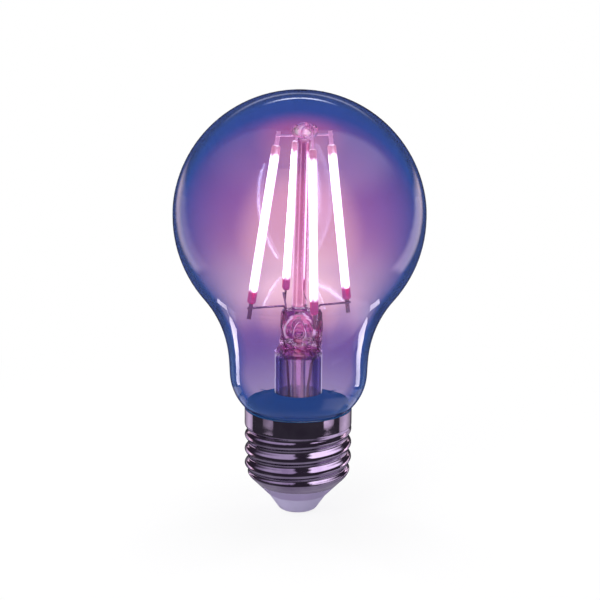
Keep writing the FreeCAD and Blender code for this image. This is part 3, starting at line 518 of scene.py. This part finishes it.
def makeShell():
    # nickelled, with the roller's lines along the thread: waves of the height less the helix's own climb
    material, tree, shader, place = startMaterial("rolled nickel", Metallic=1.0)
    split = addNode(tree, "ShaderNodeSeparateXYZ", {0: place})
    height = split.outputs["Z"]
    angle = calc(tree, "ARCTAN2", split.outputs["Y"], split.outputs["X"])
    level = calc(tree, "SUBTRACT", height, calc(tree, "MULTIPLY", angle, shell["pitch"] / (2 * math.pi)))
    tint = between(tree, noise(tree, place, shell["cloud"]), linear(*shell["dull"]), linear(*shell["bright"]))
    gloss = spread(tree, noise(tree, place, shell["glossCloud"]), *noiseSpan, *shell["gloss"])
    feed(tree, shader, Base_Color=tint, Roughness=gloss)
    scale, depth = shell["waver"]
    wander = calc(tree, "MULTIPLY_ADD", noise(tree, place, scale, 0.0), depth, level)
    waves = []
    for run, count in zip((wander, level), shell["lines"]):
        waves.append(calc(tree, "SINE", calc(tree, "MULTIPLY", run, 2 * math.pi * count / shell["pitch"])))
    rolled = band(tree, height, *shell["threads"])
    lines = calc(tree, "MULTIPLY", calc(tree, "ADD", *waves), rolled)
    addBump(tree, shader, lines, shell["lineStrength"], shell["lineDepth"])
    return material


dress("screw_shell", makeShell())


# wires, contact, cement and driver

metal = {"metallic": 1.0, "detail": 3.0, "glossShare": (0.7, 1.4), "glossFiner": 3, "bumpFiner": 8}
matte = {"metallic": 0.0, "detail": 4.0, "glossShare": (0.85, 1.15), "glossFiner": 1, "bumpFiner": 6}
bumpDepth = 0.0001
# kind, the two colours that it drifts between, scale of the drift, roughness and bump
finishes = {
    "contact metal": (metal, (190, 186, 196), (214, 210, 220), 400.0, 0.25, 0.05),
    "nickel wire": (metal, (150, 120, 150), (190, 160, 185), 900.0, 0.3, 0.05),
    "copper lead": (metal, (120, 70, 110), (150, 95, 130), 900.0, 0.3, 0.05),
    "tab metal": (metal, (140, 106, 136), (168, 132, 160), 700.0, 0.3, 0.05),
    # painted light: the upper tabs are a lighter, pinker copy of the tab metal, with a glow in the list below
    "upper tab metal with painted light": (metal, (232, 200, 222), (248, 222, 240), 700.0, 0.45, 0.05),
    # painted light: the cement's deep blue, and its blue glow in the list below, stand for the blue that
    # shows through the glass
    "basing cement with painted blue light": (matte, (40, 96, 164), (48, 106, 176), 300.0, 0.8, 0.3),
    "board": (matte, (196, 198, 190), (214, 216, 206), 300.0, 0.6, 0.1),
    "package": (matte, (28, 28, 32), (44, 44, 48), 600.0, 0.5, 0.1),
    "capacitor sleeve": (matte, (36, 38, 52), (52, 54, 70), 500.0, 0.4, 0.05),
    "fuse body": (matte, (120, 150, 120), (140, 168, 138), 500.0, 0.5, 0.05),
}
# painted light: emission for the strips' light on the upper metal, which turns pink, and a blue glow on the
# paste
litFinishes = {
    "upper tab metal with painted light": (2.2, 0.6, 0.5),
    "basing cement with painted blue light": (0.03, 0.115, 0.17),
}
finishOf = {
    "centre_contact": "contact metal",
    "basing_cement": "basing cement with painted blue light",
    "driver_board": "board",
    "bridge_rectifier": "package",
    "driver_chip": "package",
    "smoothing_capacitor": "capacitor sleeve",
    "fuse_resistor": "fuse body",
    "shell_lead": "copper lead",
    "contact_lead": "copper lead",
}


def makeFinish(name):
    kind, first, second, scale, rough, bump = finishes[name]
    material, tree, shader, place = startMaterial(name, Metallic=kind["metallic"])
    cloud = noise(tree, place, scale, kind["detail"])
    tint = between(tree, cloud, linear(*first), linear(*second))
    fineCloud = noise(tree, place, scale * kind["glossFiner"], kind["detail"])
    gloss = spread(tree, fineCloud, *noiseSpan, *[rough * share for share in kind["glossShare"]])
    feed(tree, shader, Base_Color=tint, Roughness=gloss)
    addBump(tree, shader, noise(tree, place, scale * kind["bumpFiner"]), bump, bumpDepth)
    if name in litFinishes:
        shader.inputs["Emission Color"].default_value = opaque(litFinishes[name])
        shader.inputs["Emission Strength"].default_value = 1.0
    return material


materials = {name: makeFinish(name) for name in finishes}
for name in parts:
    if name in finishOf:
        dress(name, materials[finishOf[name]])
    elif name.endswith("_upper_tab") or name.startswith("upper_bridge"):
        dress(name, materials["upper tab metal with painted light"])
    elif name.endswith("_lower_tab"):
        dress(name, materials["tab metal"])
    elif name.startswith("inner_lead"):
        dress(name, materials["nickel wire"])
    elif name.startswith("lead_in"):
        dress(name, materials["copper lead"])
print("cap, wires and driver done")


# the paste on the flare, round the foot of the tube; its deep blue and blue glow are painted light, for the
# blue that shows through the glass

paste = {
    "inside": 0.00592,
    "foot": 0.02696,
    "least": 0.0002,                  # its depth where it is thinnest
    "rise": 0.0034,
    "hollow": 1.8,
    "rim": 0.0277,                    # height to which it climbs the glass
    "climb": 4,
    "belly": (0.035, 0.01595),        # height and inside radius of the glass where the neck is widest
    "narrowing": (0.0049, 0.00138, 2.08),
    "clearance": 0.00014,
    "fillet": [(0.00635, 0.0275), (0.0060, 0.0280)],   # radius and height along the tube's own fillet
    "underside": 0.0071,
    "topPoints": 24,
    "sidePoints": 8,
    "turns": 96,
}


def makePaste():
    # a closed ring: a profile of radius and height turned about the axis, whose top falls from the tube as a
    # power of the way left and climbs to the rim as the fourth power of the way gone; its outside keeps clear
    # of the glass, which narrows as a power of the depth below the belly, and its inside follows the tube's
    # own fillet
    bellyHeight, bellyRadius = paste["belly"]
    depth, narrower, power = paste["narrowing"]
    side = np.linspace(paste["rim"], paste["foot"], paste["sidePoints"])
    wall = bellyRadius - narrower * ((bellyHeight - side) / depth) ** power - paste["clearance"]
    across = np.linspace(0, 1, paste["topPoints"])
    radius = paste["inside"] + (wall[0] - paste["inside"]) * across
    low = paste["foot"] + paste["least"]
    fall = paste["rise"] * (1 - across) ** paste["hollow"]
    top = low + fall + (paste["rim"] - low) * across ** paste["climb"]
    under = np.array([(paste["underside"], paste["foot"])] + paste["fillet"])
    profile = np.concatenate([np.stack([radius, top], 1), np.stack([wall, side], 1)[1:], under])
    turns = paste["turns"]
    angles = np.linspace(0, 2 * np.pi, turns, endpoint=False)
    x = np.outer(np.cos(angles), profile[:, 0])
    y = np.outer(np.sin(angles), profile[:, 0])
    z = np.repeat(profile[None, :, 1], turns, 0)
    points = np.stack([x, y, z], -1).reshape(-1, 3)
    count = len(profile)
    turn, step = np.meshgrid(np.arange(turns), np.arange(count), indexing="ij")
    nextTurn = (turn + 1) % turns
    nextStep = (step + 1) % count
    corners = ((turn, nextStep), (nextTurn, nextStep), (nextTurn, step), (turn, step))
    faces = np.stack([row * count + column for row, column in corners], -1).reshape(-1, 4)
    mesh = bpy.data.meshes.new("foot_paste")
    mesh.from_pydata(points.tolist(), [], faces.tolist())
    mesh.polygons.foreach_set("use_smooth", np.ones(len(faces), bool))
    mesh.materials.append(materials["basing cement with painted blue light"])
    piece = bpy.data.objects.new("foot_paste", mesh)
    bpy.context.scene.collection.objects.link(piece)
    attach(piece, "root")


makePaste()
print("foot paste done")


# floor, light and camera; bearings are in degrees from the front, plus to the right

studio = {
    "eye": (0.0, -0.3919, 0.1503),
    "aim": (0.0, 0.0, 0.0533),
    "axisShift": 0.00025,
    "roll": 0.42,
    "lens": 100.6,
    "sensor": 36.0,
    "nearClip": 0.01,
    # lamps that only light: place, width, height and power
    "lampAim": (0.0, 0.0, 0.055),
    "lamps": [("left strip", (-0.72, 0.69, 0.25), 0.18, 0.9, 5.0),
              ("right strip", (0.72, 0.69, 0.25), 0.18, 0.9, 5.0),
              ("key box", (-0.55, -0.75, 0.7), 0.5, 0.5, 5.0),
              ("top box", (0.0, 0.1, 1.0), 0.6, 0.6, 5.0)],
    "roomLight": 0.45,
    "roomTint": (0.93, 0.92, 1.0),
    "roomMirror": (0.032, 0.026, 0.036),   # what mirrors see where no softbox stands
    # what mirrors see round about: bearing from, to and softness, height from, to and softness, light
    "softboxes": [(-140, -126, 7, -5, 2, 4, (0.95, 0.66, 0.72)), (-152, -138, 6, -5, 2, 4, (1.6, 1.2, 1.3)),
                  (129, 150, 5, -5, 2, 4, (1.9, 1.45, 1.55)),
                  (160, 181, 10, 20, 24, 2, (0.9, 0.9, 1.1)), (-181, -160, 10, 20, 24, 2, (0.9, 0.9, 1.1)),
                  (170, 181, 9, 34.5, 37, 1, (6.0, 6.0, 7.0)),
                  (-181, -170, 9, 34.5, 37, 1, (6.0, 6.0, 7.0)),
                  (30, 116, 7, 26, 91, 12, (1.55, 1.40, 1.60)),
                  (-120, -13, 6, 30, 91, 14, (0.50, 0.44, 0.57))],
    "floorRings": (0.1, 0.5, 6.0),
    "floorTurns": 96,
    "paper": (0.9, 0.9, 0.9),
    "shadow": (0.02, 0.16, 0.86, 1.0),     # radii between which the floor turns from nearly white to white
    "floorMirror": (0.017, 0.030, 0.32, 0.045),   # radii between which mirrors see it dim, and how bright
    "floorTint": (0.90, 0.85, 1.0),
    # what mirrors see on the floor: side, bearing from, to and softness, light, radius from, to and softness,
    # and how the bearing draws in towards the lamp
    "floorCards": [(-1, 126, 140, 7, (0.95, 0.66, 0.72), 0.125, 9.0, 0.012, 4.2),
                   (-1, 138, 152, 6, (1.6, 1.2, 1.3), 0.125, 9.0, 0.012, 4.2),
                   (1, 129, 150, 5, (1.9, 1.45, 1.55), 0.125, 9.0, 0.012, 4.2),
                   (-1, 107, 138, 3, (0.60, 0.52, 0.70), 0.044, 0.057, 0.003, 0.0),
                   (1, 88, 138, 3, (0.85, 0.75, 0.92), 0.040, 0.057, 0.003, 0.0),
                   (1, 44, 96, 8, (0.80, 0.72, 0.86), 0.028, 0.057, 0.005, 0.0)],
    # small cards by the foot that only mirrors see, behind a grid so that each shows in one place: the bright
    # line down each side of the neck, and the pale sides and windows of the collar; place, point aimed at,
    # width, height, roll, half angle of the grid and brightness
    "cards": [("left line card", (-0.0402, 0.0078, 0.0252), (-0.0148, -0.0105, 0.0430),
               0.0066, 0.0066, -8, 0.43, 9.0),
              ("right line card", (0.0404, 0.0057, 0.0250), (0.0144, -0.0112, 0.0434),
               0.0080, 0.0066, 5, 0.46, 9.0),
              ("left collar card", (-0.0410, 0.0340, 0.0090), (0, 0, 0.024), 0.050, 0.0075, 0, 0.63, 0.85),
              ("right collar card", (0.0430, 0.0260, 0.0090), (0, 0, 0.024), 0.060, 0.0075, 0, 0.63, 0.85),
              ("left window card", (-0.0537, -0.0295, 0.0096), (0, 0, 0.024), 0.026, 0.0036, 0, 0.50, 0.45),
              ("right window card", (0.0545, -0.0277, 0.0099), (0, 0, 0.024), 0.026, 0.0034, 0, 0.50, 1.1)],
    "cardTint": (1.0, 0.88, 1.0),
}


def bearingOf(tree, split):
    back = calc(tree, "MULTIPLY", split.outputs["Y"], -1.0)
    return calc(tree, "DEGREES", calc(tree, "ARCTAN2", split.outputs["X"], back))


def makeFloorPaper():
    # white all over, with the soft shadow left round the foot; mirrors see it dimmer, with the cards on it
    material = bpy.data.materials.new("white floor")
    material.use_nodes = True
    tree = material.node_tree
    tree.nodes.clear()
    place = addNode(tree, "ShaderNodeTexCoord").outputs["Object"]
    away = vectorCalc(tree, "LENGTH", {0: place})
    bearing = bearingOf(tree, addNode(tree, "ShaderNodeSeparateXYZ", {0: place}))
    ground = spread(tree, away, *studio["floorMirror"])
    dim = mixColour(tree, 1.0, ground, studio["floorTint"], "MULTIPLY")
    inverse = calc(tree, "DIVIDE", 1.0, away)
    for side, low, high, soft, light, near, far, fade, draw in studio["floorCards"]:
        turned = calc(tree, "MULTIPLY_ADD", inverse, draw, calc(tree, "MULTIPLY", bearing, float(side)))
        across = band(tree, turned, low, high, soft)
        card = calc(tree, "MULTIPLY", across, band(tree, away, near, far, fade))
        dim = mixColour(tree, card, dim, light)
    rays = addNode(tree, "ShaderNodeLightPath").outputs
    mirror = calc(tree, "SUBTRACT", rays["Is Glossy Ray"], rays["Is Transmission Ray"], clamp=True)
    mirrored = mixColour(tree, mirror, white, dim)
    seen = calc(tree, "MAXIMUM", rays["Is Camera Ray"], rays["Is Glossy Ray"])
    seen = calc(tree, "MAXIMUM", seen, rays["Is Transmission Ray"])
    cover = spread(tree, away, *studio["shadow"], smooth=True)
    share = calc(tree, "MULTIPLY", seen, calc(tree, "MAXIMUM", cover, mirror))
    paper = addNode(tree, "ShaderNodeBsdfDiffuse", {"Color": opaque(studio["paper"])})
    shine = addNode(tree, "ShaderNodeEmission", {"Color": mirrored, "Strength": 1.0})
    both = addNode(tree, "ShaderNodeMixShader", {0: share, 1: paper.outputs[0], 2: shine.outputs[0]})
    feed(tree, addNode(tree, "ShaderNodeOutputMaterial"), Surface=both.outputs[0])
    return material


def makeFloor():
    # a disc in polar form: rings of growing radius about the lamp's axis, with a fan in the middle
    turns = studio["floorTurns"]
    angles = np.linspace(0, 2 * np.pi, turns, endpoint=False)
    rings = np.array(studio["floorRings"])
    level = np.zeros((len(rings), turns))
    points = np.stack([np.outer(rings, np.cos(angles)), np.outer(rings, np.sin(angles)), level], -1)
    points = np.vstack([points.reshape(-1, 3), [[0, 0, 0]]])
    step = np.arange(turns)
    after = (step + 1) % turns
    faces = []
    for inner in range(0, turns * (len(rings) - 1), turns):
        outer = inner + turns
        faces += np.stack([step + inner, step + outer, after + outer, after + inner], 1).tolist()
    faces += np.stack([np.full(turns, len(points) - 1), step, after], 1).tolist()
    mesh = bpy.data.meshes.new("floor")
    mesh.from_pydata(points.tolist(), [], faces)
    mesh.materials.append(makeFloorPaper())
    floor = bpy.data.objects.new("floor", mesh)
    bpy.context.scene.collection.objects.link(floor)


def makeWorld():
    world = bpy.data.worlds.new("studio")
    bpy.context.scene.world = world
    world.use_nodes = True
    tree = world.node_tree
    tree.nodes.clear()
    way = addNode(tree, "ShaderNodeTexCoord").outputs["Generated"]
    split = addNode(tree, "ShaderNodeSeparateXYZ", {0: way})
    bearing = bearingOf(tree, split)
    rise = calc(tree, "DEGREES", calc(tree, "ARCSINE", split.outputs["Z"]))
    total = studio["roomMirror"]
    for low, high, soft, lowRise, highRise, softRise, light in studio["softboxes"]:
        across = band(tree, bearing, low, high, soft)
        patch = calc(tree, "MULTIPLY", across, band(tree, rise, lowRise, highRise, softRise))
        total = mixColour(tree, patch, total, light)
    tint = opaque(studio["roomTint"])
    mirrored = addNode(tree, "ShaderNodeBackground", {"Color": total, "Strength": 1.0})
    backdrop = addNode(tree, "ShaderNodeBackground", {"Color": opaque(white), "Strength": 1.0})
    room = addNode(tree, "ShaderNodeBackground", {"Color": tint, "Strength": studio["roomLight"]})
    rays = addNode(tree, "ShaderNodeLightPath").outputs
    seen = calc(tree, "MAXIMUM", rays["Is Camera Ray"], rays["Is Transmission Ray"])
    choice = {0: rays["Is Glossy Ray"], 1: room.outputs[0], 2: mirrored.outputs[0]}
    lit = addNode(tree, "ShaderNodeMixShader", choice)
    both = addNode(tree, "ShaderNodeMixShader", {0: seen, 1: lit.outputs[0], 2: backdrop.outputs[0]})
    feed(tree, addNode(tree, "ShaderNodeOutputWorld"), Surface=both.outputs[0])


def addLamp(name, place, aim, wide, tall, power):
    lamp = bpy.data.lights.new(name, "AREA")
    lamp.shape = "RECTANGLE"
    lamp.size = wide
    lamp.size_y = tall
    lamp.energy = power
    holder = bpy.data.objects.new(name, lamp)
    bpy.context.scene.collection.objects.link(holder)
    holder.location = place
    holder.rotation_euler = (Vector(aim) - Vector(place)).to_track_quat("-Z", "Y").to_euler()
    # the softboxes that mirrors see are in the world, so the lamps only light
    holder.visible_glossy = False
    holder.visible_transmission = False
    holder.visible_camera = False
    return holder


def addCard(name, place, aim, wide, tall, roll, grid, shine):
    # the power that makes a card behind its grid as bright, seen straight on, as its shine says
    power = math.pi * wide * tall * (1 - grid / math.tan(grid)) * shine
    card = addLamp(name, place, aim, wide, tall, power)
    turned = card.rotation_euler.to_matrix() @ Matrix.Rotation(math.radians(roll), 3, "Z")
    card.rotation_euler = turned.to_euler()
    card.data.spread = 2 * grid
    card.data.color = studio["cardTint"]
    card.visible_glossy = True
    card.visible_diffuse = False


def addCamera():
    camera = bpy.data.cameras.new("camera")
    camera.lens = studio["lens"]
    camera.sensor_width = studio["sensor"]
    camera.clip_start = studio["nearClip"]
    camera.dof.use_dof = False
    viewer = bpy.data.objects.new("camera", camera)
    bpy.context.scene.collection.objects.link(viewer)
    step = Vector((studio["axisShift"], 0, 0))
    eye = Vector(studio["eye"]) + step
    aim = Vector(studio["aim"]) + step
    look = (aim - eye).to_track_quat("-Z", "Y").to_matrix().to_4x4()
    roll = Matrix.Rotation(math.radians(studio["roll"]), 4, "Z")
    viewer.matrix_world = Matrix.Translation(eye) @ look @ roll
    bpy.context.scene.camera = viewer


makeFloor()
makeWorld()
for name, place, wide, tall, power in studio["lamps"]:
    addLamp(name, place, studio["lampAim"], wide, tall, power)
for card in studio["cards"]:
    addCard(*card)
addCamera()
bpy.context.scene.view_settings.view_transform = "Standard"
print("studio done")
